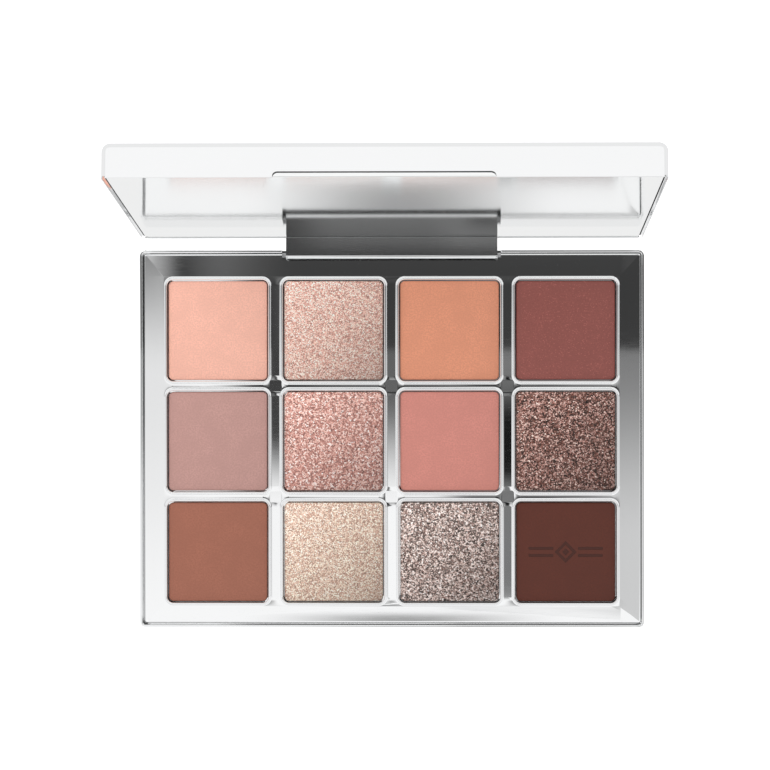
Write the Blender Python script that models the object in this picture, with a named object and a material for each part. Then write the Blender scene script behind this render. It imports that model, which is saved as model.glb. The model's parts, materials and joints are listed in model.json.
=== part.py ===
"""Eyeshadow palette: a shallow mirrored compact with twelve square powders and a lid that hinges at the back.

The base lies on its underside, centred on the origin, with the front edge towards -Y and the hinge
towards +Y. The lid's parts are modelled closed, under an empty on the hinge's axis, and the empty
turns them open.
"""

import math

import bmesh
import bpy
from mathutils import Matrix, Vector

MM = 0.001

# Driving dimensions, in metres.
WIDTH = 106.4 * MM
DEPTH = 79.6 * MM
BASE_HEIGHT = 7.5 * MM
LID_HEIGHT = 6.9 * MM
CORNER_RADIUS = 1.2 * MM
WALL = 0.6 * MM
GAP = 0.3 * MM
FINE_GAP = 0.25 * MM
OVERSHOOT = 1.0 * MM
BITE = 0.3 * MM
INNER_CORNER = 0.6 * MM
RIM_ROUND = 0.3 * MM
UNDERSIDE_ROUND = 0.6 * MM
LID_ROUND = 1.1 * MM
INSERT_CORNER = 0.5 * MM
LAND_ROUND = 0.2 * MM

COLUMNS = 4
ROWS = 3
COLUMN_PITCH = 24.45 * MM
ROW_PITCH = 23.36 * MM
GRID_SHIFT = -0.5 * MM

POWDER_SIDE = 20.85 * MM
POWDER_RADIUS = 1.0 * MM
POWDER_TOP = 6.7 * MM
POWDER_CROWN = 0.8 * MM
POWDER_EDGE = 0.2 * MM

PAN_SIDE = 20.75 * MM
PAN_HEIGHT = 3.0 * MM
PAN_WALL = 0.4 * MM

FLOOR = 1.2 * MM
LAND_TOP = 7.3 * MM
PLATE = 1.0 * MM
SKIRT = 0.8 * MM
CUP_WALL = 0.8 * MM
BEAD_WIDTH = 0.6 * MM
BEAD_HEIGHT = 0.3 * MM

LEG_WIDTH = 44.7 * MM
LEG_THICKNESS = 1.95 * MM
LEG_CLEARANCE = 0.1 * MM
BARREL_ROUND = 0.9 * MM
NOTCH_WIDTH = 46.1 * MM
NOTCH_DEPTH = 2.2 * MM
NOTCH_SILL = 2.6 * MM
AXIS_BELOW_RIM = 3.74 * MM
CHEEK_WIDTH = 4.0 * MM
CHEEK_TOP = 5.9 * MM
CHEEK_INSET = 0.3 * MM
BORE_END_WALL = 0.4 * MM
PIN_RADIUS = 0.45 * MM
BORE_RADIUS = 0.53 * MM
PIN_REACH = 3.0 * MM

MIRROR_RECESS = 0.2 * MM
REBATE_WIDTH = 0.3 * MM
REBATE_DEPTH = 0.5 * MM
MIRROR_THICKNESS = 1.5 * MM
TAPE_THICKNESS = 0.2 * MM
TAPE_MARGIN = 4.0 * MM
TRAY_WALL = 1.0 * MM
TRAY_FLOOR = 0.8 * MM
LID_SKIN = 1.2 * MM
FINGER_NOTCH_WIDTH = 42.0 * MM
FINGER_NOTCH_HEIGHT = 1.2 * MM
FINGER_NOTCH_ROUND = 1.0 * MM

MAGNET_LENGTH = 10.0 * MM
MAGNET_WIDTH = 1.9 * MM
MAGNET_SPREAD = 60.0 * MM

LABEL_SIZE = (58.0 * MM, 22.0 * MM, 0.15 * MM)
LABEL_RECESS = 0.5 * MM
LABEL_Y = 20.0 * MM

OPENING_DEGREES = 95.8

# Shades from the back row to the front row, left to right: name, sRGB colour, metallic, roughness.
SHADES = (
    ("peach", "F4BBA8", 0.0, 0.9),
    ("champagne_rose", "D9B3A7", 0.5, 0.45),
    ("caramel", "D59477", 0.0, 0.9),
    ("plum", "8E5751", 0.2, 0.6),
    ("mauve", "C19892", 0.0, 0.9),
    ("rose_glitter", "CDA196", 0.5, 0.45),
    ("dusty_rose", "CC8980", 0.0, 0.9),
    ("bronze_glitter", "84665E", 0.5, 0.45),
    ("rust", "A66D5B", 0.0, 0.9),
    ("champagne", "DABDAC", 0.4, 0.5),
    ("taupe_glitter", "A79590", 0.5, 0.4),
    ("chocolate", "5E372E", 0.0, 0.9),
)

# Worked out from the driving dimensions.
RIM_PLANE = BASE_HEIGHT + GAP
AXIS_Y = DEPTH / 2 - LEG_THICKNESS / 2
AXIS_Z = RIM_PLANE - AXIS_BELOW_RIM
INNER_WIDTH = WIDTH - 2 * WALL
CHEEK_FRONT = DEPTH / 2 - NOTCH_DEPTH - CHEEK_INSET
INNER_DEPTH = DEPTH - 2 * WALL
WELL_SIDE = POWDER_SIDE + 2 * FINE_GAP
WELL_RADIUS = POWDER_RADIUS + FINE_GAP
FRAME_BOTTOM = FLOOR + GAP
WELL_FLOOR = FRAME_BOTTOM + CUP_WALL
PAN_BOTTOM = WELL_FLOOR + GAP
LID_TOP = RIM_PLANE + LID_HEIGHT
MAGNET_Y = -INNER_DEPTH / 2 + FINE_GAP + SKIRT + GAP + MAGNET_WIDTH / 2
MIRROR_FACE = RIM_PLANE + MIRROR_RECESS


def clear_scene():
    """Removes every object that is in the scene."""
    for obj in list(bpy.data.objects):
        bpy.data.objects.remove(obj, do_unlink=True)


def make_collection(name, is_hidden=False):
    """A collection linked to the scene."""
    collection = bpy.data.collections.new(name)
    collection.hide_render = is_hidden
    bpy.context.scene.collection.children.link(collection)
    return collection


def linear_colour(code):
    """The linear RGBA value of a six-digit sRGB colour code."""
    channels = [int(code[i : i + 2], 16) / 255 for i in (0, 2, 4)]
    return [c / 12.92 if c <= 0.04045 else ((c + 0.055) / 1.055) ** 2.4 for c in channels] + [1.0]


def make_material(name, code, metallic, roughness):
    """A Principled material of one colour."""
    material = bpy.data.materials.new(name)
    material.use_nodes = True
    shader = material.node_tree.nodes["Principled BSDF"]
    shader.inputs["Base Color"].default_value = linear_colour(code)
    shader.inputs["Metallic"].default_value = metallic
    shader.inputs["Roughness"].default_value = roughness
    return material


def box_mesh(size, centre, radius=0.0, segments=3):
    """A box as a bmesh, with its four upright edges rounded."""
    bm = bmesh.new()
    bmesh.ops.create_cube(bm, size=1.0)
    bmesh.ops.scale(bm, vec=size, verts=bm.verts)
    if radius:
        uprights = [e for e in bm.edges if abs(e.verts[0].co.z - e.verts[1].co.z) > size[2] / 2]
        bevel(bm, uprights, radius, segments)
    bmesh.ops.translate(bm, vec=centre, verts=bm.verts)
    return bm


def bevel(bm, edges, width, segments):
    """Rounds the given edges."""
    bmesh.ops.bevel(bm, geom=edges, offset=width, segments=segments, profile=0.5, affect="EDGES")


def level_edges(bm, z):
    """The edges of a bmesh that lie at height z."""
    return [e for e in bm.edges if all(abs(v.co.z - z) < 1e-6 for v in e.verts)]


def level_face(bm, z):
    """The flat face of a bmesh that lies at height z."""
    return [f for f in bm.faces if all(abs(v.co.z - z) < 1e-6 for v in f.verts)]


def cylinder_mesh(radius, length, centre, segments=16):
    """A cylinder along X as a bmesh."""
    bm = bmesh.new()
    bmesh.ops.create_cone(
        bm, cap_ends=True, segments=segments, radius1=radius, radius2=radius, depth=length
    )
    bmesh.ops.rotate(bm, matrix=Matrix.Rotation(math.pi / 2, 3, "Y"), verts=bm.verts)
    bmesh.ops.translate(bm, vec=centre, verts=bm.verts)
    return bm


def joined(pieces):
    """One bmesh that holds all the given ones, side by side."""
    whole = bmesh.new()
    for bm in pieces:
        mesh = bpy.data.meshes.new("piece")
        bm.to_mesh(mesh)
        bm.free()
        whole.from_mesh(mesh)
        bpy.data.meshes.remove(mesh)
    return whole


def add_object(name, bm, collection, material=None, pivot=None):
    """An object from a bmesh. A piece of the lid takes the hinge's empty as its parent."""
    bmesh.ops.recalc_face_normals(bm, faces=bm.faces)
    mesh = bpy.data.meshes.new(name)
    if pivot:
        bmesh.ops.translate(bm, vec=-pivot.location, verts=bm.verts)
    bm.to_mesh(mesh)
    bm.free()
    obj = bpy.data.objects.new(name, mesh)
    obj.parent = pivot
    collection.objects.link(obj)
    if material:
        mesh.materials.append(material)
        mesh.shade_smooth()
        mesh.set_sharp_from_angle(angle=math.radians(30))
    return obj


def boolean(obj, name, bm, operation, pivot=None):
    """Cuts a shape from an object, or joins it on, with a Boolean modifier."""
    cutter = add_object(f"{obj.name}_{name}", bm, cutters, pivot=pivot)
    cutter.hide_render = True
    cutter.display_type = "WIRE"
    modifier = obj.modifiers.new(name, "BOOLEAN")
    modifier.operation = operation
    modifier.object = cutter


def well_centres():
    """The middle of each well, from the back row to the front row, left to right."""
    centres = []
    for row in range(ROWS):
        y = GRID_SHIFT + ((ROWS - 1) / 2 - row) * ROW_PITCH
        for column in range(COLUMNS):
            centres.append(((column - (COLUMNS - 1) / 2) * COLUMN_PITCH, y))
    return centres


def between(low, high):
    """The size and the centre of a box, from its lowest and highest corners."""
    low = Vector(low)
    high = Vector(high)
    return high - low, (low + high) / 2


def build_base_shell(collection, material):
    """The outer tray: floor, four walls, the hinge's notch, and a cheek on each side of it."""
    size, centre = between((-WIDTH / 2, -DEPTH / 2, 0), (WIDTH / 2, DEPTH / 2, BASE_HEIGHT))
    bm = box_mesh(size, centre, CORNER_RADIUS)
    bevel(bm, level_edges(bm, BASE_HEIGHT), RIM_ROUND, 1)
    bevel(bm, level_edges(bm, 0), UNDERSIDE_ROUND, 1)
    shell = add_object("base_shell", bm, collection, material)
    centre = (0, 0, FLOOR + BASE_HEIGHT / 2)
    room = box_mesh((INNER_WIDTH, INNER_DEPTH, BASE_HEIGHT), centre, INNER_CORNER)
    boolean(shell, "room", room, "DIFFERENCE")
    cheeks = []
    for side in (-1, 1):
        near = side * (NOTCH_WIDTH / 2 - OVERSHOOT)
        far = side * (NOTCH_WIDTH / 2 + CHEEK_WIDTH)
        low = (min(near, far), CHEEK_FRONT, FLOOR - BITE)
        high = (max(near, far), DEPTH / 2 - CHEEK_INSET, CHEEK_TOP)
        cheeks.append(box_mesh(*between(low, high)))
    boolean(shell, "cheeks", joined(cheeks), "UNION")
    low = (-NOTCH_WIDTH / 2, DEPTH / 2 - NOTCH_DEPTH - OVERSHOOT, NOTCH_SILL)
    high = (NOTCH_WIDTH / 2, DEPTH / 2 + OVERSHOOT, BASE_HEIGHT + OVERSHOOT)
    boolean(shell, "notch", box_mesh(*between(low, high)), "DIFFERENCE")
    bore = NOTCH_WIDTH / 2 + CHEEK_WIDTH - BORE_END_WALL
    pins = cylinder_mesh(BORE_RADIUS, 2 * bore, (0, AXIS_Y, AXIS_Z))
    boolean(shell, "bores", pins, "DIFFERENCE")
    recess = (LABEL_SIZE[0] + 2 * GAP, LABEL_SIZE[1] + 2 * GAP, 2 * LABEL_RECESS)
    boolean(shell, "label_recess", box_mesh(recess, (0, LABEL_Y, 0)), "DIFFERENCE")


def build_pan_frame(collection, material):
    """The inner frame: a plate with a skirt, four rows of cups under it, and a bead round each well."""
    size, centre = between(
        (-INNER_WIDTH / 2 + FINE_GAP, -INNER_DEPTH / 2 + FINE_GAP, FRAME_BOTTOM),
        (INNER_WIDTH / 2 - FINE_GAP, INNER_DEPTH / 2 - FINE_GAP, LAND_TOP),
    )
    bm = box_mesh(size, centre, INSERT_CORNER, 2)
    bevel(bm, level_edges(bm, LAND_TOP), LAND_ROUND, 1)
    frame = add_object("pan_frame", bm, collection, material)
    under_plate = LAND_TOP - PLATE
    hollow = (size.x - 2 * SKIRT, size.y - 2 * SKIRT, 2 * (under_plate - FRAME_BOTTOM))
    boolean(frame, "hollow", box_mesh(hollow, (0, 0, FRAME_BOTTOM)), "DIFFERENCE")
    cup_depth = (ROWS - 1) * ROW_PITCH + WELL_SIDE + 2 * CUP_WALL
    cups = []
    for x, _ in well_centres()[:COLUMNS]:
        low = (x - WELL_SIDE / 2 - CUP_WALL, GRID_SHIFT - cup_depth / 2, FRAME_BOTTOM)
        high = (x + WELL_SIDE / 2 + CUP_WALL, GRID_SHIFT + cup_depth / 2, under_plate + BITE)
        cups.append(box_mesh(*between(low, high)))
    boolean(frame, "cups", joined(cups), "UNION")
    beads = []
    bead_side = WELL_SIDE + 2 * BEAD_WIDTH
    bead_top = LAND_TOP + BEAD_HEIGHT
    for x, y in well_centres():
        low = (x - bead_side / 2, y - bead_side / 2, under_plate + BITE)
        high = (x + bead_side / 2, y + bead_side / 2, bead_top)
        bead = box_mesh(*between(low, high), WELL_RADIUS + BEAD_WIDTH)
        bevel(bead, level_edges(bead, bead_top), LAND_ROUND, 1)
        beads.append(bead)
    boolean(frame, "beads", joined(beads), "UNION")
    wells = []
    for x, y in well_centres():
        low = (x - WELL_SIDE / 2, y - WELL_SIDE / 2, WELL_FLOOR)
        high = (x + WELL_SIDE / 2, y + WELL_SIDE / 2, BASE_HEIGHT + OVERSHOOT)
        wells.append(box_mesh(*between(low, high), WELL_RADIUS))
    boolean(frame, "wells", joined(wells), "DIFFERENCE")
    low = (-NOTCH_WIDTH / 2, DEPTH / 2 - NOTCH_DEPTH, 0)
    high = (NOTCH_WIDTH / 2, DEPTH / 2, BASE_HEIGHT + OVERSHOOT)
    boolean(frame, "notch", box_mesh(*between(low, high)), "DIFFERENCE")
    rooms = []
    for side in (-1, 1):
        near = side * (NOTCH_WIDTH / 2 - OVERSHOOT)
        far = side * (NOTCH_WIDTH / 2 + CHEEK_WIDTH + GAP)
        low = (min(near, far), CHEEK_FRONT - GAP, 0)
        high = (max(near, far), DEPTH / 2, CHEEK_TOP + GAP)
        rooms.append(box_mesh(*between(low, high)))
    boolean(frame, "cheek_rooms", joined(rooms), "DIFFERENCE")


def build_pan(name, x, y, collection, material):
    """A shallow drawn metal pan, open at the top."""
    centre = (x, y, PAN_BOTTOM + PAN_HEIGHT / 2)
    bm = box_mesh((PAN_SIDE, PAN_SIDE, PAN_HEIGHT), centre, POWDER_RADIUS)
    mouth = level_face(bm, PAN_BOTTOM + PAN_HEIGHT)
    bmesh.ops.inset_region(bm, faces=mouth, thickness=PAN_WALL)
    moved = bmesh.ops.extrude_face_region(bm, geom=mouth)["geom"]
    bmesh.ops.delete(bm, geom=mouth, context="FACES_ONLY")
    inner = [v for v in moved if isinstance(v, bmesh.types.BMVert)]
    bmesh.ops.translate(bm, vec=(0, 0, PAN_WALL - PAN_HEIGHT), verts=inner)
    add_object(name, bm, collection, material)


def build_powder(name, x, y, collection, material):
    """A pressed cake: a plug inside the pan, and a crown that spreads over the pan's rim."""
    crown_bottom = POWDER_TOP - POWDER_CROWN
    centre = (x, y, POWDER_TOP - POWDER_CROWN / 2)
    bm = box_mesh((POWDER_SIDE, POWDER_SIDE, POWDER_CROWN), centre, POWDER_RADIUS)
    bevel(bm, level_edges(bm, POWDER_TOP), POWDER_EDGE, 1)
    seat = level_face(bm, crown_bottom)
    plug_inset = (POWDER_SIDE - PAN_SIDE) / 2 + PAN_WALL + GAP
    bmesh.ops.inset_region(bm, faces=seat, thickness=plug_inset)
    moved = bmesh.ops.extrude_face_region(bm, geom=seat)["geom"]
    bmesh.ops.delete(bm, geom=seat, context="FACES_ONLY")
    plug = [v for v in moved if isinstance(v, bmesh.types.BMVert)]
    plug_bottom = PAN_BOTTOM + PAN_WALL + GAP
    bmesh.ops.translate(bm, vec=(0, 0, plug_bottom - crown_bottom), verts=plug)
    add_object(name, bm, collection, material)


def build_lid_shell(collection, material, pivot):
    """The lid's outer shell, with a finger notch in front and the broad hinge leg at the back."""
    size, centre = between((-WIDTH / 2, -DEPTH / 2, RIM_PLANE), (WIDTH / 2, DEPTH / 2, LID_TOP))
    bm = box_mesh(size, centre, CORNER_RADIUS)
    bevel(bm, level_edges(bm, LID_TOP), LID_ROUND, 3)
    shell = add_object("lid_shell", bm, collection, material, pivot)
    room_height = 2 * (LID_HEIGHT - LID_SKIN)
    room = box_mesh((INNER_WIDTH, INNER_DEPTH, room_height), (0, 0, RIM_PLANE), INNER_CORNER)
    boolean(shell, "room", room, "DIFFERENCE", pivot)
    rebate = (INNER_WIDTH + 2 * REBATE_WIDTH, INNER_DEPTH + 2 * REBATE_WIDTH, 2 * REBATE_DEPTH)
    boolean(shell, "rebate", box_mesh(rebate, (0, 0, RIM_PLANE), INNER_CORNER), "DIFFERENCE", pivot)
    low = (-FINGER_NOTCH_WIDTH / 2, -DEPTH / 2 - OVERSHOOT, RIM_PLANE - OVERSHOOT)
    high = (FINGER_NOTCH_WIDTH / 2, -INNER_DEPTH / 2 + BITE, RIM_PLANE + FINGER_NOTCH_HEIGHT)
    notch = box_mesh(*between(low, high))
    corners = [e for e in level_edges(notch, high[2]) if abs(e.verts[0].co.y - e.verts[1].co.y) > 1e-6]
    bevel(notch, corners, FINGER_NOTCH_ROUND, 3)
    boolean(shell, "finger_notch", notch, "DIFFERENCE", pivot)
    leg_bottom = AXIS_Z - LEG_THICKNESS / 2
    low = (-LEG_WIDTH / 2, DEPTH / 2 - LEG_THICKNESS, leg_bottom)
    high = (LEG_WIDTH / 2, DEPTH / 2, RIM_PLANE - LEG_CLEARANCE)
    leg = box_mesh(*between(low, high))
    rounds = [e for e in level_edges(leg, leg_bottom) if abs(e.verts[0].co.x - e.verts[1].co.x) > 1e-6]
    bevel(leg, rounds, BARREL_ROUND, 4)
    boolean(shell, "leg", leg, "UNION", pivot)
    low = (-LEG_WIDTH / 2, INNER_DEPTH / 2, RIM_PLANE - OVERSHOOT)
    high = (LEG_WIDTH / 2, DEPTH / 2, RIM_PLANE + REBATE_DEPTH + BITE)
    boolean(shell, "leg_root", box_mesh(*between(low, high)), "UNION", pivot)
    bores = []
    for side in (-1, 1):
        middle = (side * LEG_WIDTH / 2, AXIS_Y, AXIS_Z)
        bores.append(cylinder_mesh(BORE_RADIUS, 2 * PIN_REACH, middle))
    boolean(shell, "bores", joined(bores), "DIFFERENCE", pivot)


def build_mirror_stack(collection, glass, adhesive, plastic, pivot):
    """Behind the rim: the mirror, the adhesive sheet that holds it, and the tray that fills the shell."""
    plan = (INNER_WIDTH - 2 * GAP, INNER_DEPTH - 2 * GAP)
    mirror_back = MIRROR_FACE + MIRROR_THICKNESS
    centre = (0, 0, MIRROR_FACE + MIRROR_THICKNESS / 2)
    mirror = box_mesh((*plan, MIRROR_THICKNESS), centre, INSERT_CORNER, 2)
    add_object("mirror", mirror, collection, glass, pivot)
    tape_back = mirror_back + GAP + TAPE_THICKNESS
    tape_size = (plan[0] - 2 * TAPE_MARGIN, plan[1] - 2 * TAPE_MARGIN, TAPE_THICKNESS)
    tape = box_mesh(tape_size, (0, 0, tape_back - TAPE_THICKNESS / 2))
    add_object("mirror_tape", tape, collection, adhesive, pivot)
    tray_face = tape_back + GAP
    tray_back = LID_TOP - LID_SKIN - GAP
    centre = (0, 0, (tray_face + tray_back) / 2)
    tray = box_mesh((*plan, tray_back - tray_face), centre, INSERT_CORNER, 2)
    mouth = level_face(tray, tray_back)
    bmesh.ops.inset_region(tray, faces=mouth, thickness=TRAY_WALL)
    moved = bmesh.ops.extrude_face_region(tray, geom=mouth)["geom"]
    bmesh.ops.delete(tray, geom=mouth, context="FACES_ONLY")
    inner = [v for v in moved if isinstance(v, bmesh.types.BMVert)]
    bmesh.ops.translate(tray, vec=(0, 0, tray_face + TRAY_FLOOR - tray_back), verts=inner)
    add_object("mirror_tray", tray, collection, plastic, pivot)
    return tray_face + TRAY_FLOOR + GAP, tray_back


def build_pair(name, bm_of_side, collection, material, pivot=None):
    """A left and a right piece, each its own object."""
    for side, word in ((-1, "left"), (1, "right")):
        add_object(f"{name}_{word}", bm_of_side(side), collection, material, pivot)


clear_scene()
parts = make_collection("eyeshadow_palette")
cutters = make_collection("cutters", is_hidden=True)

hinge = bpy.data.objects.new("lid_hinge_axis", None)
hinge.location = (0, AXIS_Y, AXIS_Z)
hinge.empty_display_size = 10 * MM
parts.objects.link(hinge)

silver = make_material("silver_metallised_plastic", "E6E7E8", 1.0, 0.08)
black_plastic = make_material("black_plastic", "1E1E20", 0.0, 0.5)
tinplate = make_material("pan_metal", "B9BABC", 1.0, 0.3)
mirror_glass = make_material("mirror_glass", "F2F4F4", 1.0, 0.02)
foam_tape = make_material("adhesive_tape", "D9D9D4", 0.0, 0.8)
steel = make_material("pin_steel", "8F9194", 1.0, 0.3)
magnet_nickel = make_material("magnet_nickel", "A6A7A9", 1.0, 0.25)
label_paper = make_material("label_paper", "F0F0EE", 0.0, 0.7)

build_base_shell(parts, silver)
build_pan_frame(parts, silver)

for (shade, code, shine, roughness), (well_x, well_y) in zip(SHADES, well_centres()):
    powder = make_material(f"powder_{shade}", code, shine, roughness)
    build_pan(f"pan_{shade}", well_x, well_y, parts, tinplate)
    build_powder(f"powder_{shade}", well_x, well_y, parts, powder)

build_lid_shell(parts, silver, hinge)
magnet_low, magnet_high = build_mirror_stack(parts, mirror_glass, foam_tape, black_plastic, hinge)


def pin_mesh(side):
    """A straight pin that reaches from the cheek into the end of the leg."""
    inner_end = LEG_WIDTH / 2 - PIN_REACH + GAP
    outer_end = NOTCH_WIDTH / 2 + CHEEK_WIDTH - BORE_END_WALL - GAP
    middle = (side * (inner_end + outer_end) / 2, AXIS_Y, AXIS_Z)
    return cylinder_mesh(PIN_RADIUS, outer_end - inner_end, middle)


def base_magnet_mesh(side):
    """A bar magnet that stands between the frame's front skirt and the cups."""
    size = (MAGNET_LENGTH, MAGNET_WIDTH, LAND_TOP - PLATE - GAP - FLOOR - GAP)
    middle_z = (LAND_TOP - PLATE + FLOOR) / 2
    return box_mesh(size, (side * MAGNET_SPREAD / 2, MAGNET_Y, middle_z))


def lid_magnet_mesh(side):
    """A flat bar magnet behind the mirror, over the one in the base when the lid is shut."""
    size = (MAGNET_LENGTH, MAGNET_WIDTH, magnet_high - magnet_low)
    return box_mesh(size, (side * MAGNET_SPREAD / 2, MAGNET_Y, (magnet_low + magnet_high) / 2))


build_pair("hinge_pin", pin_mesh, parts, steel)
build_pair("base_magnet", base_magnet_mesh, parts, magnet_nickel)
build_pair("lid_magnet", lid_magnet_mesh, parts, magnet_nickel, hinge)

label_z = LABEL_RECESS - GAP - LABEL_SIZE[2] / 2
add_object("base_label", box_mesh(LABEL_SIZE, (0, LABEL_Y, label_z)), parts, label_paper)

hinge.rotation_euler.x = -math.radians(OPENING_DEGREES)
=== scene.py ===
import json
import math

import bmesh
import bpy
from mathutils import Matrix, Vector


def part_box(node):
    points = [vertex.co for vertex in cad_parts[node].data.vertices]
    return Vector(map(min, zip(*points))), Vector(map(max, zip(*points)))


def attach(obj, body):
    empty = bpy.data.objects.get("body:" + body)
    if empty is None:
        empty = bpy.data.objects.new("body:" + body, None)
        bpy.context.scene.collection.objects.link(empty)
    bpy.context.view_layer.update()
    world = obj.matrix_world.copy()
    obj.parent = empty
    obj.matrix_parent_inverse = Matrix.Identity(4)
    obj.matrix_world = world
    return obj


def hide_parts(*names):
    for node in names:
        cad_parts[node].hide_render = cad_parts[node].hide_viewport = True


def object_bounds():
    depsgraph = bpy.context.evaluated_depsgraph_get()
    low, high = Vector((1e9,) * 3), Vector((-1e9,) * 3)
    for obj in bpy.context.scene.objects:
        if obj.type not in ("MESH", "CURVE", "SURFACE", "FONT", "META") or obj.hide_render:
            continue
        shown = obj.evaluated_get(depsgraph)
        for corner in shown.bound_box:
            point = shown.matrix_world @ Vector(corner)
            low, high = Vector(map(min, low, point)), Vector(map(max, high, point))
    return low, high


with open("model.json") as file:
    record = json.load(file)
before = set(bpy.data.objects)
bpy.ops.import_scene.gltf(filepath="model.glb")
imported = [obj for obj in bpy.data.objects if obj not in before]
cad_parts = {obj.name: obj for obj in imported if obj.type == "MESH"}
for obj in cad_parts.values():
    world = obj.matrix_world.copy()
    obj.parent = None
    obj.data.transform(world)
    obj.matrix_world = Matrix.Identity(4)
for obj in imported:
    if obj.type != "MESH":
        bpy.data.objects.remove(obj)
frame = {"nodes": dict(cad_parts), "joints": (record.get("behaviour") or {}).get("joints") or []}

MM = 0.001
OVERSHOOT = 1.0 * MM
cad_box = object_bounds()

# Camera and table. The palette lies on a white table under a large pale ceiling panel, and the
# camera looks straight down at it. Reflections leave the table out, and show the pale world there.
eye = Vector((11.9, 14.9, 663.1)) * MM
pan, tilt, roll = math.radians(-1.16), math.radians(-0.31), math.radians(-0.04)
right = Vector((1.0, 0.0, 0.0))
ahead = Vector((0.0, math.sin(tilt), -math.cos(tilt)))
upward = Vector((0.0, math.cos(tilt), math.sin(tilt)))
level_ahead, level_right = ahead, right
ahead = math.cos(pan) * level_ahead + math.sin(pan) * level_right
level_right = math.cos(pan) * level_right - math.sin(pan) * level_ahead
level_upward = upward
right = math.cos(roll) * level_right + math.sin(roll) * level_upward
upward = math.cos(roll) * level_upward - math.sin(roll) * level_right

camera = bpy.data.objects.new("camera", bpy.data.cameras.new("camera"))
camera.data.lens = 145.54
camera.data.sensor_width = 36.0
camera.data.clip_start = 0.05
camera.data.clip_end = 20.0
camera.matrix_world = Matrix.Translation(eye) @ Matrix((right, upward, -ahead)).transposed().to_4x4()
bpy.context.scene.collection.objects.link(camera)
bpy.context.scene.camera = camera
bpy.context.scene.view_settings.view_transform = "Standard"


class Field:
    """A socket in a node tree. Sums on it add Math nodes, and node() adds any other."""

    def __init__(self, tree, socket=None):
        self.tree = tree
        self.socket = socket

    def node(self, kind, settings=None, inputs=None, output=0):
        node = self.tree.nodes.new(kind)
        for key, value in (settings or {}).items():
            if key == "stops":
                ramp = node.color_ramp
                while len(ramp.elements) < len(value):
                    ramp.elements.new(0.5)
                for element, (place, colour) in zip(ramp.elements, value):
                    element.position = place
                    element.color = (*colour, 1.0)
            else:
                setattr(node, key, value)
        for key, value in (inputs or {}).items():
            if isinstance(value, Field):
                self.tree.links.new(value.socket, node.inputs[key])
            else:
                node.inputs[key].default_value = value
        return Field(self.tree, node.outputs[output])

    def math(self, operation, *values):
        return self.node("ShaderNodeMath", {"operation": operation}, dict(enumerate(values)))

    def __add__(self, other):
        return self.math("ADD", self, other)

    def __radd__(self, other):
        return self.math("ADD", other, self)

    def __sub__(self, other):
        return self.math("SUBTRACT", self, other)

    def __rsub__(self, other):
        return self.math("SUBTRACT", other, self)

    def __mul__(self, other):
        return self.math("MULTIPLY", self, other)

    def __rmul__(self, other):
        return self.math("MULTIPLY", other, self)

    def __truediv__(self, other):
        return self.math("DIVIDE", self, other)

    def __abs__(self):
        return self.math("ABSOLUTE", self)

    def greatest(self, other):
        return self.math("MAXIMUM", self, other)

    def rise(self, low, high):
        """0 below low, 1 above high, and a soft step between them."""
        inputs = {"Value": self, "From Min": low, "From Max": high}
        if low > high:
            inputs = {"Value": self, "From Min": high, "From Max": low, "To Min": 1.0, "To Max": 0.0}
        return self.node("ShaderNodeMapRange", {"interpolation_type": "SMOOTHSTEP"}, inputs)

    def blend(self, first, second):
        """The first colour where this field is 0, and the second where it is 1."""
        inputs = {0: self, 6: first, 7: second}
        return self.node("ShaderNodeMix", {"data_type": "RGBA"}, inputs, 2)

    def fade(self, first, second):
        """The first value where this field is 0, and the second where it is 1."""
        return self.node("ShaderNodeMix", {"data_type": "FLOAT"}, {0: self, 2: first, 3: second})


def new_material(name):
    """A node material: the material, a field to start from, the Object coordinates and the shader."""
    material = bpy.data.materials.new(name)
    material.use_nodes = True
    field = Field(material.node_tree)
    place = field.node("ShaderNodeTexCoord", output=3)
    return material, field, place, material.node_tree.nodes["Principled BSDF"]


def wire(shader, values):
    """Sets the shader's sockets to constant values, or links fields to them."""
    for key, value in values.items():
        if isinstance(value, Field):
            value.tree.links.new(value.socket, shader.inputs[key])
        else:
            shader.inputs[key].default_value = value


def axes(place):
    """The X, Y and Z of a place, in millimetres."""
    inputs = {0: place, 1: (1000.0, 1000.0, 1000.0)}
    scaled = place.node("ShaderNodeVectorMath", {"operation": "MULTIPLY"}, inputs)
    return [scaled.node("ShaderNodeSeparateXYZ", None, {0: scaled}, axis) for axis in range(3)]


def noise(place, scale, detail=2.0):
    """Soft noise from 0 to 1."""
    inputs = {"Vector": place, "Scale": scale, "Detail": detail}
    return place.node("ShaderNodeTexNoise", None, inputs)


def stage_sheet(name, low, high, z, material):
    """A level sheet that is part of the studio and not of the palette."""
    bm = bmesh.new()
    bmesh.ops.create_grid(bm, x_segments=1, y_segments=1, size=0.5)
    bmesh.ops.scale(bm, vec=(high[0] - low[0], high[1] - low[1], 1.0), verts=bm.verts)
    bmesh.ops.translate(bm, vec=((low[0] + high[0]) / 2, (low[1] + high[1]) / 2, z), verts=bm.verts)
    mesh = bpy.data.meshes.new(name)
    bm.to_mesh(mesh)
    bm.free()
    mesh.materials.append(material)
    sheet = bpy.data.objects.new(name, mesh)
    bpy.context.scene.collection.objects.link(sheet)
    return sheet


floor_paint, field, place, shader = new_material("table_white")
wire(shader, {
    "Base Color": noise(place, 30.0).blend((0.88, 0.88, 0.88, 1), (0.9, 0.9, 0.9, 1)),
    "Roughness": 0.7,
    "Emission Color": (1, 1, 1, 1),
    "Emission Strength": 0.75,
})
table = stage_sheet("table", (-3, -3), (3, 3), cad_box[0].z, floor_paint)
table.visible_glossy = False

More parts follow.
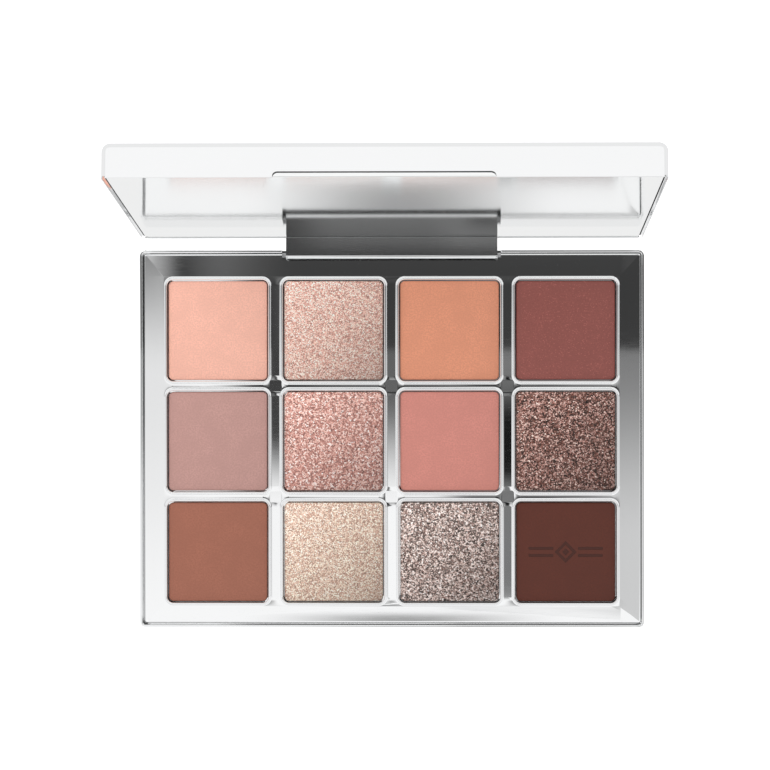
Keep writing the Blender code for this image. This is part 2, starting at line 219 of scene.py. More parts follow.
# The ceiling panel. One white sheet of light that shows only in reflections. Its dark areas are
# steps in x and y, in millimetres from the middle of the base, and each has its own brightness:
# the front ones, the camera's lens, a card with a hard edge behind it, and a figure in front.
panel_light, field, place, shader = new_material("ceiling_panel")
x, y, _ = axes(place)
front_left = (y.rise(-42, -12) * -0.93) + 0.98
front_middle = (y.rise(-46, 4) * -0.87) + 1.0
front_right = (y.rise(-105, -75) * -0.78) + 0.98
front_side = (y.rise(-60, 22) * -0.42) + 0.64
front = x.rise(-60, -35).fade(front_left, front_middle)
front = x.rise(64, 95).fade(x.rise(2, 22).fade(front, front_right), front_side)
near_camera = x.rise(-92, -66) * y.rise(-101, -93) * y.rise(60, 40)
lens = x.rise(12, 26) * x.rise(66, 52) * y.rise(-38, -28) * y.rise(16, -8)
glow = lens.fade(near_camera.fade(1.0, front), 0.01)
card = y.rise(22.3, 22.9) * y.rise(150, 125) * x.rise(-118, -100)
glow = card.fade(glow, x.rise(-112, -50).fade(0.2, 0.055) * (y.rise(50, 90) * 0.35 + 0.82))
beside_card = y.rise(10, 70) * y.rise(150, 125) * x.rise(-98, -122)
glow = beside_card.fade(glow, 0.42)
far_left = x.rise(-80, -110) * y.rise(-100, 10) * y.rise(120, 80)
figure = y.rise(-100, -108) * y.rise(-320, -260) * x.rise(-78, -8) * x.rise(64, -6)
glow = figure.fade(glow, 0.39) - far_left * 0.17
wire(shader, {
    "Base Color": (0, 0, 0, 1),
    "Specular IOR Level": 0.0,
    "Emission Color": field.node("ShaderNodeCombineColor", None, {0: glow, 1: glow, 2: glow}),
    "Emission Strength": 1.0,
})
panel = stage_sheet("ceiling_panel", (-1.2, -1.2), (1.2, 1.2), 0.66, panel_light)
panel.visible_camera = False
panel.visible_diffuse = False
panel.visible_transmission = False
panel.visible_shadow = False

# World and key light. An even pale world lights the powders, with a soft key from the left.
world = bpy.data.worlds.new("studio")
world.use_nodes = True
bpy.context.scene.world = world
world.node_tree.nodes["Background"].inputs["Color"].default_value = (0.9, 0.9, 0.9, 1)
world.node_tree.nodes["Background"].inputs["Strength"].default_value = 0.98

key = bpy.data.objects.new("key_light", bpy.data.lights.new("key_light", "AREA"))
key.data.shape = "DISK"
key.data.size = 0.5
key.data.energy = 2.0
key.visible_glossy = False
key.location = (-0.45, 0.25, 0.75)
key.rotation_mode = "QUATERNION"
key.rotation_quaternion = key.location.to_track_quat("Z", "Y")
bpy.context.scene.collection.objects.link(key)

# The base tray. One injection-moulded plastic shell, metallised silver all over: a floor, four
# thin walls with rounded rims, and a notch at the back where the lid's leg goes down between
# two cheeks that hold the pins.
tray_low, tray_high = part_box("base_shell")
TRAY_WALL = 0.6 * MM
TRAY_FLOOR = 1.2 * MM
TRAY_CORNER = 1.2 * MM
NOTCH_WIDTH = 46.1 * MM
NOTCH_DEPTH = 2.2 * MM
NOTCH_SILL = 2.6 * MM
CHEEK_WIDTH = 4.0 * MM
CHEEK_TOP = 5.9 * MM
PIN_BORE = 0.53 * MM
INNER_CORNER = 0.6 * MM
UNDERSIDE_ROUND = 0.6 * MM
RIM_ROUND = 0.2 * MM
CLEARANCE = 0.3 * MM
BORE_END_WALL = 0.4 * MM
RIM_CUTS_X = [place * MM for place in (-50, -33, 33, 50)]
RIM_CUTS_Y = [place * MM for place in (-37, -15, 15, 36)]
lid_hinge = frame["joints"][0]
hinge_at = Vector(lid_hinge["pos_m"])


def block(low, high, corner=0.0, steps=8):
    """A block between two corners, with its upright edges rounded."""
    low, high = Vector(low), Vector(high)
    bm = bmesh.new()
    bmesh.ops.create_cube(bm, size=1.0)
    bmesh.ops.scale(bm, vec=high - low, verts=bm.verts)
    bmesh.ops.translate(bm, vec=(low + high) / 2, verts=bm.verts)
    if corner:
        uprights = [e for e in bm.edges if abs(e.verts[0].co.z - e.verts[1].co.z) > 1e-6]
        round_off(bm, uprights, corner, steps)
    return bm


def round_off(bm, edges, radius, steps=5):
    """Rounds the given edges."""
    bmesh.ops.bevel(
        bm, geom=edges, offset=radius, segments=steps, profile=0.5, affect="EDGES", material=-1
    )


def rod(radius, low_x, high_x, y, z, sides=32):
    """A round rod along X."""
    bm = bmesh.new()
    bmesh.ops.create_cone(
        bm, cap_ends=True, segments=sides, radius1=radius, radius2=radius, depth=high_x - low_x
    )
    bmesh.ops.rotate(bm, matrix=Matrix.Rotation(math.pi / 2, 3, "Y"), verts=bm.verts)
    bmesh.ops.translate(bm, vec=((low_x + high_x) / 2, y, z), verts=bm.verts)
    return bm


def at_level(bm, z):
    """The sharp edges that lie at one height."""
    level = [e for e in bm.edges if all(abs(v.co.z - z) < 1e-6 for v in e.verts)]
    return [e for e in level if e.calc_face_angle(0.0) > 0.1]


def cut_across(bm, axis, places):
    """Cuts the faces along planes across one axis, so that a rim isn't one long bent face."""
    normal = Vector([float(i == axis) for i in range(3)])
    for place in places:
        shape = [*bm.verts, *bm.edges, *bm.faces]
        bmesh.ops.bisect_plane(bm, geom=shape, dist=1e-7, plane_co=normal * place, plane_no=normal)


def as_object(name, bm):
    mesh = bpy.data.meshes.new(name)
    bm.to_mesh(mesh)
    obj = bpy.data.objects.new(name, mesh)
    bpy.context.scene.collection.objects.link(obj)
    return obj


def carve(bm, cutter, operation="DIFFERENCE"):
    """Cuts one closed shape from another, or joins it on."""
    body = as_object("carved", bm)
    tool = as_object("cutter", cutter)
    cutter.free()
    step = body.modifiers.new("carve", "BOOLEAN")
    step.operation = operation
    step.object = tool
    made = bpy.data.meshes.new_from_object(body.evaluated_get(bpy.context.evaluated_depsgraph_get()))
    bm.clear()
    bm.from_mesh(made)
    for obj in (body, tool):
        mesh = obj.data
        bpy.data.objects.remove(obj)
        bpy.data.meshes.remove(mesh)
    bpy.data.meshes.remove(made)


def finish_piece(name, bm, material, body, node, sharp=40.0, creases=False):
    """Makes the piece, with flat faces left flat beside their rounded edges, hangs it under its body's empty,
    and hides the part it stands in for.
    """
    bmesh.ops.recalc_face_normals(bm, faces=bm.faces)
    for face in bm.faces:
        face.smooth = True
    for edge in bm.edges:
        angle = math.degrees(edge.calc_face_angle(0.0))
        edge.smooth = angle < sharp and not (creases and 0.4 < angle < 3.0)
    piece = as_object(name, bm)
    bm.free()
    piece.data.materials.append(material)
    normals = piece.modifiers.new("flat_faces", "WEIGHTED_NORMAL")
    normals.weight = 100
    normals.keep_sharp = True
    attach(piece, body)
    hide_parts(node)
    return piece


def silver_finish(name, tone=(0.93, 0.935, 0.94, 1)):
    """Vacuum-metallised gloss plastic: near-mirror, slightly wavy, with faint wiping marks."""
    material, field, place, shader = new_material(name)
    stretched = place.node("ShaderNodeMapping", None, {"Vector": place, "Scale": (1.0, 12.0, 1.0)})
    marks = noise(stretched, 260.0, 4.0)
    dust = noise(place, 5200.0, 1.0).rise(0.72, 0.8)
    bump = {"Strength": 1.0, "Distance": 1.0, "Height": noise(place, 70.0, 1.0) * 2.2e-6}
    wire(shader, {
        "Base Color": noise(place, 40.0).blend(tone, (tone[0] * 0.985, tone[1] * 0.985, tone[2] * 0.985, 1)),
        "Metallic": 1.0,
        "Roughness": marks.rise(0.4, 0.8) * 0.02 + dust * 0.05 + 0.035,
        "Normal": field.node("ShaderNodeBump", None, bump),
    })
    return material


silver = silver_finish("silver_metallised")

tray = block(tray_low, tray_high, TRAY_CORNER, 10)
round_off(tray, at_level(tray, tray_low.z), UNDERSIDE_ROUND)
wall_in = Vector((TRAY_WALL, TRAY_WALL, 0))
room_low = tray_low + wall_in + Vector((0, 0, TRAY_FLOOR))
carve(tray, block(room_low, tray_high - wall_in + Vector((0, 0, OVERSHOOT)), INNER_CORNER, 6))
back = tray_high.y
for side in (-1, 1):
    near, far = sorted((side * (NOTCH_WIDTH / 2 - OVERSHOOT), side * (NOTCH_WIDTH / 2 + CHEEK_WIDTH)))
    cheek_low = (near, back - NOTCH_DEPTH - CLEARANCE, TRAY_FLOOR - CLEARANCE)
    carve(tray, block(cheek_low, (far, back - CLEARANCE, CHEEK_TOP)), "UNION")
notch_low = (-NOTCH_WIDTH / 2, back - NOTCH_DEPTH - OVERSHOOT, NOTCH_SILL)
carve(tray, block(notch_low, (NOTCH_WIDTH / 2, back + OVERSHOOT, tray_high.z + OVERSHOOT)))
bore_end = NOTCH_WIDTH / 2 + CHEEK_WIDTH - BORE_END_WALL
carve(tray, rod(PIN_BORE, -bore_end, bore_end, hinge_at.y, hinge_at.z))
label_low, label_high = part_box("base_label")
label_room = Vector((CLEARANCE, CLEARANCE, CLEARANCE))
carve(tray, block(label_low - label_room - Vector((0, 0, OVERSHOOT)), label_high + label_room))
cut_across(tray, 0, RIM_CUTS_X)
cut_across(tray, 1, RIM_CUTS_Y)
round_off(tray, at_level(tray, tray_high.z), RIM_ROUND, 4)
finish_piece("base_tray", tray, silver, "base", "base_shell")

# The pan frame. A second silver moulding that drops into the tray and has settled towards its back
# right corner: a flat land with a shallow mitred slope round its border, and twelve square wells,
# each inside a smooth raised ring that sweeps down into the land.
frame_low, frame_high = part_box("pan_frame")
LAND_TOP = 7.3 * MM
WELL_SIDE = 21.35 * MM
WELL_RADIUS = 1.25 * MM
WELL_FLOOR = 2.3 * MM
RING_CREST = 0.24 * MM
RING_SWEEP = 0.36 * MM
RING_LEAN = math.radians(60)
LAND_EDGE = 0.45 * MM
BORDER_DROP = 0.02 * MM
SETTLED = 0.13 * MM
PLATE = 1.0 * MM
SKIRT = 0.8 * MM
FRAME_CORNER = 0.5 * MM
ring_width = RING_CREST + (RING_CREST + RING_SWEEP) * math.sin(RING_LEAN)
ring_top = frame_high.z
SHADES = (
    ("peach", "f8bca8", "matte"), ("champagne_rose", "f8bcac", "shimmer"),
    ("caramel", "e49878", "matte"), ("plum", "904c44", "satin"),
    ("mauve", "c0948c", "matte"), ("rose_glitter", "d89c90", "glitter"),
    ("dusty_rose", "d0887c", "matte"), ("bronze_glitter", "78564c", "glitter"),
    ("rust", "a06450", "matte"), ("champagne", "e4bca8", "shimmer"),
    ("taupe_glitter", "a49088", "glitter"), ("chocolate", "582414", "matte"),
)
wells = []
for shade, _, _ in SHADES:
    powder_low, powder_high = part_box(f"powder_{shade}")
    wells.append((powder_low + powder_high) / 2)


def rounded_face(bm, size, centre, radius, steps):
    """A level face with rounded corners."""
    made = bmesh.ops.create_grid(bm, x_segments=1, y_segments=1, size=0.5)
    bmesh.ops.scale(bm, vec=(size[0], size[1], 1.0), verts=made["verts"])
    bmesh.ops.translate(bm, vec=centre, verts=made["verts"])
    bmesh.ops.bevel(
        bm, geom=made["verts"], offset=radius, segments=steps, profile=0.5, affect="VERTICES", material=-1
    )
    return min(bm.faces, key=lambda f: (f.calc_center_bounds() - Vector(centre)).length)


def step_in(bm, face, inwards, rise):
    """Insets a face and lifts it, which leaves one band of a rounded edge round it."""
    bmesh.ops.inset_region(bm, faces=[face], thickness=inwards, use_boundary=True, use_even_offset=True)
    bmesh.ops.translate(bm, vec=(0, 0, rise), verts=face.verts)


def draw_out(bm, face, rise):
    """Extrudes a face straight up or down, and gives back the moved one."""
    made = bmesh.ops.extrude_face_region(bm, geom=[face])["geom"]
    bmesh.ops.delete(bm, geom=[face], context="FACES_ONLY")
    bmesh.ops.translate(bm, vec=(0, 0, rise), verts=[v for v in made if isinstance(v, bmesh.types.BMVert)])
    return [f for f in made if isinstance(f, bmesh.types.BMFace)][0]


def follow(bm, face, path):
    """Steps a face in along a path of (distance inwards, height)."""
    for (u, z), (next_u, next_z) in zip(path, path[1:]):
        step_in(bm, face, next_u - u, next_z - z)


frame_piece = bmesh.new()
frame_low = frame_low + Vector((SETTLED, SETTLED, 0))
frame_high = frame_high + Vector((SETTLED, SETTLED, 0))
frame_size = frame_high - frame_low
frame_mid = (frame_low + frame_high) / 2
bottom = rounded_face(frame_piece, frame_size, (frame_mid.x, frame_mid.y, frame_low.z), FRAME_CORNER, 6)
made = bmesh.ops.extrude_face_region(frame_piece, geom=[bottom])["geom"]
lifted = [v for v in made if isinstance(v, bmesh.types.BMVert)]
bmesh.ops.translate(frame_piece, vec=(0, 0, LAND_TOP - LAND_EDGE - frame_low.z), verts=lifted)
cap = [f for f in made if isinstance(f, bmesh.types.BMFace)][0]
arc = [math.radians(a) for a in range(0, 91, 15)]
follow(frame_piece, cap, [(LAND_EDGE * (1 - math.cos(a)), LAND_EDGE * math.sin(a)) for a in arc])
bmesh.ops.delete(frame_piece, geom=[cap], context="FACES_ONLY")

sweep = [RING_LEAN * i / 6 for i in range(7)]
ring_path = [(RING_SWEEP * math.sin(a), LAND_TOP + RING_SWEEP * (1 - math.cos(a))) for a in sweep]
for degrees in range(50, -91, -10):
    a = math.radians(degrees)
    u = ring_width - RING_CREST * (1 + math.sin(a))
    ring_path.append((u, ring_top - RING_CREST * (1 - math.cos(a))))
ring_side = WELL_SIDE + 2 * ring_width
for middle in wells:
    centre = (middle.x, middle.y, LAND_TOP)
    mouth = rounded_face(frame_piece, (ring_side, ring_side), centre, WELL_RADIUS + ring_width, 10)
    follow(frame_piece, mouth, ring_path)
    draw_out(frame_piece, mouth, WELL_FLOOR - (ring_top - RING_CREST))
open_edges = [e for e in frame_piece.edges if e.is_boundary]
bmesh.ops.triangle_fill(frame_piece, edges=open_edges, use_beauty=True, normal=(0, 0, 1))

half_ring = Vector((ring_side, ring_side, 0)) / 2
grid_low = Vector((min(w.x for w in wells), min(w.y for w in wells), 0)) - half_ring
grid_high = Vector((max(w.x for w in wells), max(w.y for w in wells), 0)) + half_ring
land_low = frame_low + Vector((LAND_EDGE, LAND_EDGE, 0))
land_high = frame_high - Vector((LAND_EDGE, LAND_EDGE, 0))


def score(bm, point, normal, wanted):
    """Cuts the land's flat faces along a vertical plane."""
    faces = [f for f in bm.faces if all(abs(v.co.z - LAND_TOP) < 1e-7 for v in f.verts)]
    faces = [f for f in faces if wanted(f.calc_center_median())]
    geom = set(faces)
    for face in faces:
        geom.update(face.verts)
        geom.update(face.edges)
    bmesh.ops.bisect_plane(bm, geom=list(geom), plane_co=point, plane_no=normal, dist=1e-7)


for corner in (grid_low, grid_high):
    score(frame_piece, corner, (1, 0, 0), lambda p: True)
    score(frame_piece, corner, (0, 1, 0), lambda p: True)
for inner_x, outer_x in ((grid_low.x, land_low.x), (grid_high.x, land_high.x)):
    for inner_y, outer_y in ((grid_low.y, land_low.y), (grid_high.y, land_high.y)):
        normal = (outer_y - inner_y, inner_x - outer_x, 0)
        def in_corner(p, x=inner_x, y=inner_y):
            beyond = abs(p.x) > abs(x) and abs(p.y - frame_mid.y) > abs(y) - 1e-6
            return beyond and p.y * y > 0 and p.x * x > 0
        score(frame_piece, (inner_x, inner_y, 0), normal, in_corner)
for vert in frame_piece.verts:
    if vert.co.z > LAND_TOP - LAND_EDGE - 1e-6:
        slopes = (
            (vert.co.x - grid_high.x) / (land_high.x - grid_high.x),
            (grid_low.x - vert.co.x) / (grid_low.x - land_low.x),
            (vert.co.y - grid_high.y) / (land_high.y - grid_high.y),
            (grid_low.y - vert.co.y) / (grid_low.y - land_low.y),
        )
        vert.co.z -= BORDER_DROP * min(1.0, max(0.0, *slopes))

cup = WELL_SIDE / 2 + SKIRT
under = LAND_TOP - PLATE
columns = sorted({round(w.x, 6) for w in wells})
edges = [frame_low.x + SKIRT] + [x + s * cup for x in columns for s in (-1, 1)] + [frame_high.x - SKIRT]
behind = back - NOTCH_DEPTH - SKIRT
hollows = [((x0, frame_low.y + SKIRT), (x1, behind)) for x0, x1 in zip(edges[::2], edges[1::2])]
rows_low, rows_high = min(w.y for w in wells) - cup, max(w.y for w in wells) + cup
hollows.append(((edges[0], frame_low.y + SKIRT), (edges[-1], rows_low)))
hollows.append(((edges[0], rows_high), (edges[-1], behind)))
for (x0, y0), (x1, y1) in hollows:
    carve(frame_piece, block((x0, y0, frame_low.z - OVERSHOOT), (x1, y1, under)))
for side in (-1, 1):
    outer = NOTCH_WIDTH / 2 + CHEEK_WIDTH + CLEARANCE
    near, far = sorted((side * (NOTCH_WIDTH / 2 - OVERSHOOT), side * outer))
    room_low = (near, back - NOTCH_DEPTH - 2 * CLEARANCE, 0)
    carve(frame_piece, block(room_low, (far, back, CHEEK_TOP + CLEARANCE)))
notch_low = (-NOTCH_WIDTH / 2, back - NOTCH_DEPTH, 0)
carve(frame_piece, block(notch_low, (NOTCH_WIDTH / 2, back + OVERSHOOT, ring_top + OVERSHOOT)))
finish_piece("pan_frame_moulding", frame_piece, silver, "base", "pan_frame", creases=True)

# The pans. Twelve shallow square pans pressed from thin tinned sheet and glued to the well
# floors. Each holds one cake, so only their rims' shadow shows in the gap round it.
tin, field, place, shader = new_material("tinned_sheet")
drawn = place.node("ShaderNodeMapping", None, {"Vector": place, "Scale": (1.0, 1.0, 9.0)})
wire(shader, {
    "Base Color": noise(drawn, 400.0, 3.0).blend((0.46, 0.465, 0.47, 1), (0.56, 0.56, 0.565, 1)),
    "Metallic": 1.0,
    "Roughness": noise(drawn, 900.0, 3.0) * 0.18 + 0.24,
})
for shade, _, _ in SHADES:
    frame["nodes"][f"pan_{shade}"].data.materials.clear()
    frame["nodes"][f"pan_{shade}"].data.materials.append(tin)

# The powders. Twelve pressed cakes with rounded edges and corners: matte ones with a soft chalky
# face, a satin plum, two fine shimmers and three coarse glitters. The sparkle of the satin, shimmers
# and glitters is painted glints and painted shade in their colour, and every cake is painted a little
# lighter towards its back left as painted light. The chocolate cake carries a plain pressed ornament,
# in its bump, with painted shade darkening its hollows.
CAKE_CORNER = 1.0 * MM
CAKE_EDGE = 0.3 * MM
CAKE_CROWN = 0.8 * MM
PAN_WALL = 0.4 * MM
# How strongly glints and shade are painted onto each shimmer's and glitter's flakes.
PAINTED_GLINT_STRENGTH = {
    "champagne_rose": 1.3,
    "champagne": 1.25,
    "rose_glitter": 1.4,
    "bronze_glitter": 2.2,
    "taupe_glitter": 2.2,
}


def srgb(code):
    """The linear colour of a six-digit code."""
    channels = [int(code[i : i + 2], 16) / 255 for i in (0, 2, 4)]
    return [c / 12.92 if c <= 0.04045 else ((c + 0.055) / 1.055) ** 2.4 for c in channels]


def tinted(colour, scale, lift=(0, 0, 0)):
    """A colour made lighter or darker, with a little of another added."""
    return (*[min(1.0, c * scale + extra) for c, extra in zip(colour, lift)], 1)


def flakes(place, size):
    """Flakes of one size in millimetres: three random numbers that stay the same over each flake."""
    cells = place.node("ShaderNodeTexVoronoi", None, {"Vector": place, "Scale": 1000.0 / size}, 1)
    return [cells.node("ShaderNodeSeparateColor", None, {0: cells}, channel) for channel in range(3)]


def ornament(place, middle):
    """How deep the pressed ornament is, from 0 to 1: an open diamond between two pairs of bars."""
    x, y, _ = axes(place)
    x = abs(x - middle.x / MM)
    y = abs(y - middle.y / MM)
    diamond = abs(x + y - 1.9).rise(0.42, 0.3)
    heart = (x + y).rise(0.75, 0.63)
    bars = abs(x - 5.2).rise(2.62, 2.5) * abs(y - 0.75).rise(0.3, 0.2)
    return diamond.greatest(heart).greatest(bars)


def powder_finish_and_painted_light(shade, code, finish, middle):
    material, field, place, shader = new_material(f"powder_{shade}")
    colour = [c * 0.975 for c in srgb(code)]
    grain = noise(place, 7000.0, 2.0)
    mottle = noise(place, 260.0, 3.0)
    cake = mottle.rise(0.3, 0.7).blend(tinted(colour, 0.98), tinted(colour, 1.08))
    cake = (noise(place, 3000.0, 2.0).rise(0.35, 0.65)).blend(tinted(colour, 0.92), cake)
    height = grain * 1e-5
    rough, shine = 0.88, 0.0
    if finish == "satin":
        # The satin's flecks are painted glints: a few flakes painted twice as light as the cake.
        pick, _, _ = flakes(place, 0.16)
        cake = (pick.rise(0.93, 0.97) * 0.35).blend(cake, tinted(colour, 2.0, (0.06, 0.03, 0.03)))
        rough, shine = 0.55, 0.12
    if finish in ("shimmer", "glitter"):
        coarse = {"shimmer": 0.19, "glitter": 0.27}[finish]
        spread = PAINTED_GLINT_STRENGTH[shade]
        # Painted glints and painted shade: each flake's tone is picked at random along a ramp whose dark and
        # bright ends stand for flakes turned from or towards the light.
        dark = tinted(colour, max(0.03, 1 - 0.6 * spread))
        pale = tinted(colour, 1 + 0.75 * spread, (0.05 * spread, 0.04 * spread, 0.045 * spread))
        painted_glint = tinted(colour, 1 + 1.5 * spread, (0.22 * spread, 0.2 * spread, 0.2 * spread))
        pick, tint, lean = flakes(place, coarse)
        fine_pick, _, _ = flakes(place, coarse * 0.55)
        level = pick * 0.62 + fine_pick * 0.38
        dim = tinted(colour, max(0.2, 1 - 0.36 * spread))
        stops = [(0.0, dark[:3]), (0.3, dim[:3]), (0.55, tuple(colour))]
        stops += [(0.75, pale[:3]), (0.92, painted_glint[:3])]
        cake = field.node("ShaderNodeValToRGB", {"stops": stops}, {0: level})
        warm = tinted(colour, 1.0, (0.09 * spread, 0.01 * spread, 0.0))
        cake = (tint.rise(0.6, 0.9) * 0.3).blend(cake, warm)
        height = level * 3.2e-5 * spread + mottle * 2e-5
        rough = lean * 0.3 + 0.28
        shine = 0.35
    if shade == "chocolate":
        pressed = ornament(place, middle)
        # Painted shade: the ornament's pressed hollows are painted darker, besides being lowered in the bump.
        cake = pressed.blend(cake, tinted(colour, 0.6))
        height = height - pressed * 1.6e-4
    # Painted light: each cake is painted lighter towards its back left and darker towards its front right,
    # more strongly on the shimmers and glitters.
    x, y, _ = axes(place)
    slant = 0.02 if finish in ("shimmer", "glitter") else 0.003
    painted_light_slant = (y - middle.y / MM - x + middle.x / MM) * slant
    cake = field.node("ShaderNodeVectorMath", {"operation": "SCALE"}, {0: cake, 3: painted_light_slant + 1.0})
    wire(shader, {
        "Base Color": cake,
        "Metallic": shine,
        "Roughness": rough if isinstance(rough, Field) else grain * 0.08 + rough - 0.04,
        "Normal": field.node("ShaderNodeBump", None, {"Strength": 1.0, "Distance": 1.0, "Height": height}),
    })
    return material


for (shade, code, finish), middle in zip(SHADES, wells):
    powder_low, powder_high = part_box(f"powder_{shade}")
    crown_low = Vector((powder_low.x, powder_low.y, powder_high.z - CAKE_CROWN))
    pan_low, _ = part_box(f"pan_{shade}")
    cake = block(crown_low, powder_high, CAKE_CORNER, 8)
    round_off(cake, at_level(cake, powder_high.z), CAKE_EDGE, 5)
    seat = [f for f in cake.faces if all(abs(v.co.z - crown_low.z) < 1e-6 for v in f.verts)][0]
    step_in(cake, seat, pan_low.x - powder_low.x + PAN_WALL + CLEARANCE, 0)
    draw_out(cake, seat, powder_low.z - crown_low.z)
    paint = powder_finish_and_painted_light(shade, code, finish, middle)
    finish_piece(f"cake_{shade}", cake, paint, "base", f"powder_{shade}")

# The lid. One silver moulding: a shallow cover with a broad soft fillet round its outer face, a
# finger notch in its front edge, and a wide leg at the back that ends in a rounded barrel. It
# is made shut and then swung open on the hinge.
LID_HEIGHT = 6.9 * MM
LID_GAP = 0.3 * MM
LID_SKIN = 1.2 * MM
REBATE_WIDTH = 0.3 * MM
REBATE_DEPTH = 0.5 * MM
LID_CORNER = 1.85 * MM
LID_FILLET = 1.75 * MM
LEG_WIDTH = 44.7 * MM
LEG_THICKNESS = 1.95 * MM
LEG_CLEARANCE = 0.1 * MM
FINGER_WIDTH = 42.0 * MM
FINGER_HEIGHT = 1.2 * MM
FINGER_ROUND = 1.0 * MM
LID_RIM_ROUND = 0.1 * MM
BARREL_ROUND = 0.9 * MM
ROOT_OVERLAP = 0.3 * MM
PIN_REACH = 3.0 * MM
open_by = -math.radians(lid_hinge["range_deg"][0])
swing = Matrix.Translation(hinge_at) @ Matrix.Rotation(open_by, 4, Vector(lid_hinge["axis"]))
swing = swing @ Matrix.Translation(-hinge_at)
rim = tray_high.z + LID_GAP

lid = block((tray_low.x, tray_low.y, rim), (tray_high.x, tray_high.y, rim + LID_HEIGHT), LID_CORNER, 10)
round_off(lid, at_level(lid, rim + LID_HEIGHT), LID_FILLET, 10)
lid_room = (tray_low.x + TRAY_WALL, tray_low.y + TRAY_WALL, rim - OVERSHOOT)
lid_room_high = (tray_high.x - TRAY_WALL, back - TRAY_WALL, rim + LID_HEIGHT - LID_SKIN)
carve(lid, block(lid_room, lid_room_high, INNER_CORNER))
rebate_wall = TRAY_WALL - REBATE_WIDTH
rebate_low = (tray_low.x + rebate_wall, tray_low.y + rebate_wall, rim - OVERSHOOT)
rebate_high = (tray_high.x - rebate_wall, back - rebate_wall, rim + REBATE_DEPTH)
carve(lid, block(rebate_low, rebate_high, INNER_CORNER))
cut_across(lid, 0, RIM_CUTS_X)
cut_across(lid, 1, RIM_CUTS_Y)
round_off(lid, at_level(lid, rim), LID_RIM_ROUND, 3)
finger_low = (-FINGER_WIDTH / 2, tray_low.y - OVERSHOOT, rim - OVERSHOOT)
finger = block(finger_low, (FINGER_WIDTH / 2, tray_low.y + TRAY_WALL + RIM_ROUND, rim + FINGER_HEIGHT))
finger_top = at_level(finger, rim + FINGER_HEIGHT)
round_off(finger, [e for e in finger_top if abs(e.verts[0].co.y - e.verts[1].co.y) > 1e-6], FINGER_ROUND, 6)
carve(lid, finger)
leg_low = Vector((-LEG_WIDTH / 2, back - LEG_THICKNESS, hinge_at.z - LEG_THICKNESS / 2))
leg = block(leg_low, (LEG_WIDTH / 2, back, rim - LEG_CLEARANCE))
leg_foot = at_level(leg, leg_low.z)
round_off(leg, [e for e in leg_foot if abs(e.verts[0].co.x - e.verts[1].co.x) > 1e-6], BARREL_ROUND, 8)
carve(lid, leg, "UNION")
root_low = (-LEG_WIDTH / 2, back - TRAY_WALL, rim - OVERSHOOT)
carve(lid, block(root_low, (LEG_WIDTH / 2, back, rim + REBATE_DEPTH + ROOT_OVERLAP)), "UNION")
for side in (-1, 1):
    near, far = sorted((side * (LEG_WIDTH / 2 - PIN_REACH), side * (LEG_WIDTH / 2 + PIN_REACH)))
    carve(lid, rod(PIN_BORE, near, far, hinge_at.y, hinge_at.z))
bmesh.ops.transform(lid, matrix=swing, verts=lid.verts)
finish_piece("lid_cover", lid, silver, "lid", "lid_shell")

# The mirror. Silvered float glass with a ground edge, held by the adhesive sheet behind it and
# set a little below the lid's rim. It bows very slightly towards its free edge, which is in its
# bump and not in its mesh.
MIRROR_RECESS = 0.2 * MM
MIRROR_THICKNESS = 1.5 * MM
MIRROR_GAP = 0.3 * MM
BOW_SLOPE = 0.034
BOW_START = 0.045
BOW_LENGTH = 0.05
GLASS_CORNER = 0.5 * MM
GLASS_EDGE = 0.2 * MM
inset = TRAY_WALL + MIRROR_GAP
mirror_low = Vector((tray_low.x + inset, tray_low.y + inset, rim + MIRROR_RECESS))
mirror_high = Vector((tray_high.x - inset, back - inset, rim + MIRROR_RECESS + MIRROR_THICKNESS))
glass = block(mirror_low, mirror_high, GLASS_CORNER, 6)
round_off(glass, at_level(glass, mirror_low.z), GLASS_EDGE, 3)
bmesh.ops.transform(glass, matrix=swing, verts=glass.verts)

silvered, field, place, shader = new_material("silvered_glass")
up_glass = swing.to_3x3() @ Vector((0, -1, 0))
above_hinge = {0: place, 1: -hinge_at}
above_hinge = place.node("ShaderNodeVectorMath", {"operation": "ADD"}, above_hinge)
climb = place.node("ShaderNodeVectorMath", {"operation": "DOT_PRODUCT"}, {0: above_hinge, 1: up_glass}, 1)
bow = (climb - BOW_START).greatest(0.0)
bow = bow * bow * (BOW_SLOPE / (2 * BOW_LENGTH))
settle = {"Strength": 1.0, "Distance": 1.0, "Height": bow + noise(place, 18.0, 1.0) * 1.2e-6}
wire(shader, {
    "Base Color": noise(place, 25.0).blend((0.935, 0.945, 0.94, 1), (0.95, 0.955, 0.955, 1)),
    "Metallic": 1.0,
    "Roughness": noise(place, 5200.0, 1.0).rise(0.74, 0.82) * 0.04 + 0.07,
    "Normal": field.node("ShaderNodeBump", None, settle),
})
finish_piece("mirror_glass", glass, silvered, "lid", "mirror")

# Behind the mirror. The adhesive sheet, the black tray that fills the lid, and two flat bar
# magnets that meet two taller ones in the base when the lid is shut.
foam, field, place, shader = new_material("adhesive_foam")
wire(shader, {
    "Base Color": noise(place, 900.0, 3.0).blend((0.62, 0.62, 0.59, 1), (0.74, 0.74, 0.71, 1)),
    "Roughness": 0.85,
    "Normal": field.node("ShaderNodeBump", None, {"Distance": 1.0, "Height": noise(place, 3000.0) * 4e-5}),
})
moulded, field, place, shader = new_material("black_moulding")
wire(shader, {
    "Base Color": noise(place, 300.0, 3.0).blend((0.012, 0.012, 0.013, 1), (0.02, 0.02, 0.022, 1)),
    "Roughness": noise(place, 1500.0, 2.0) * 0.15 + 0.42,
    "Normal": field.node("ShaderNodeBump", None, {"Distance": 1.0, "Height": noise(place, 2600.0) * 1.2e-5}),
})
nickel, field, place, shader = new_material("plated_magnet")
ground = place.node("ShaderNodeMapping", None, {"Vector": place, "Scale": (1.0, 14.0, 1.0)})
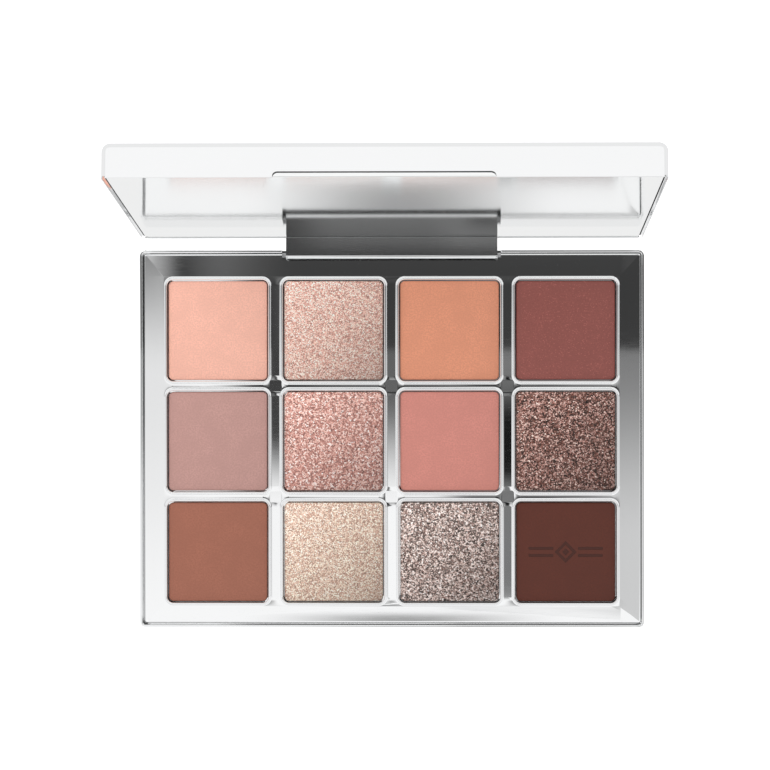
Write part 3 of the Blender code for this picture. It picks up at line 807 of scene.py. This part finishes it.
wire(shader, {
    "Base Color": noise(ground, 500.0, 3.0).blend((0.36, 0.35, 0.34, 1), (0.45, 0.44, 0.42, 1)),
    "Metallic": 1.0,
    "Roughness": noise(ground, 900.0, 3.0) * 0.16 + 0.2,
})
for node, paint in (("mirror_tape", foam), ("mirror_tray", moulded), ("base_magnet_left", nickel),
                    ("base_magnet_right", nickel), ("lid_magnet_left", nickel), ("lid_magnet_right", nickel)):
    frame["nodes"][node].data.materials.clear()
    frame["nodes"][node].data.materials.append(paint)

# The hinge pins. Two short straight lengths of drawn steel wire, pressed through the cheeks into
# the ends of the leg.
wire_steel, field, place, shader = new_material("drawn_steel")
drawn = place.node("ShaderNodeMapping", None, {"Vector": place, "Scale": (1.0, 20.0, 20.0)})
wire(shader, {
    "Base Color": noise(drawn, 300.0, 3.0).blend((0.4, 0.4, 0.41, 1), (0.52, 0.52, 0.53, 1)),
    "Metallic": 1.0,
    "Roughness": noise(drawn, 700.0, 3.0) * 0.14 + 0.18,
})
for side in ("left", "right"):
    frame["nodes"][f"hinge_pin_{side}"].data.materials.clear()
    frame["nodes"][f"hinge_pin_{side}"].data.materials.append(wire_steel)

# The label. A plain white paper sticker in a shallow recess under the base, with a thin printed
# border and nothing written on it.
paper, field, place, shader = new_material("label_paper")
x, y, _ = axes(place)
label_mid = (label_low + label_high) / 2 / MM
half = (label_high - label_low) / 2 / MM
from_side, from_end = half.x - abs(x - label_mid.x), half.y - abs(y - label_mid.y)
from_edge = field.math("MINIMUM", from_side, from_end)
line = abs(from_edge - 1.2).rise(0.22, 0.12)
fibres = noise(place, 2200.0, 4.0)
sheet = fibres.blend((0.78, 0.78, 0.76, 1), (0.86, 0.86, 0.845, 1))
wire(shader, {
    "Base Color": line.blend(sheet, (0.3, 0.3, 0.31, 1)),
    "Roughness": fibres * 0.1 + 0.62,
    "Normal": field.node("ShaderNodeBump", None, {"Distance": 1.0, "Height": fibres * 6e-6}),
})
frame["nodes"]["base_label"].data.materials.clear()
frame["nodes"]["base_label"].data.materials.append(paper)
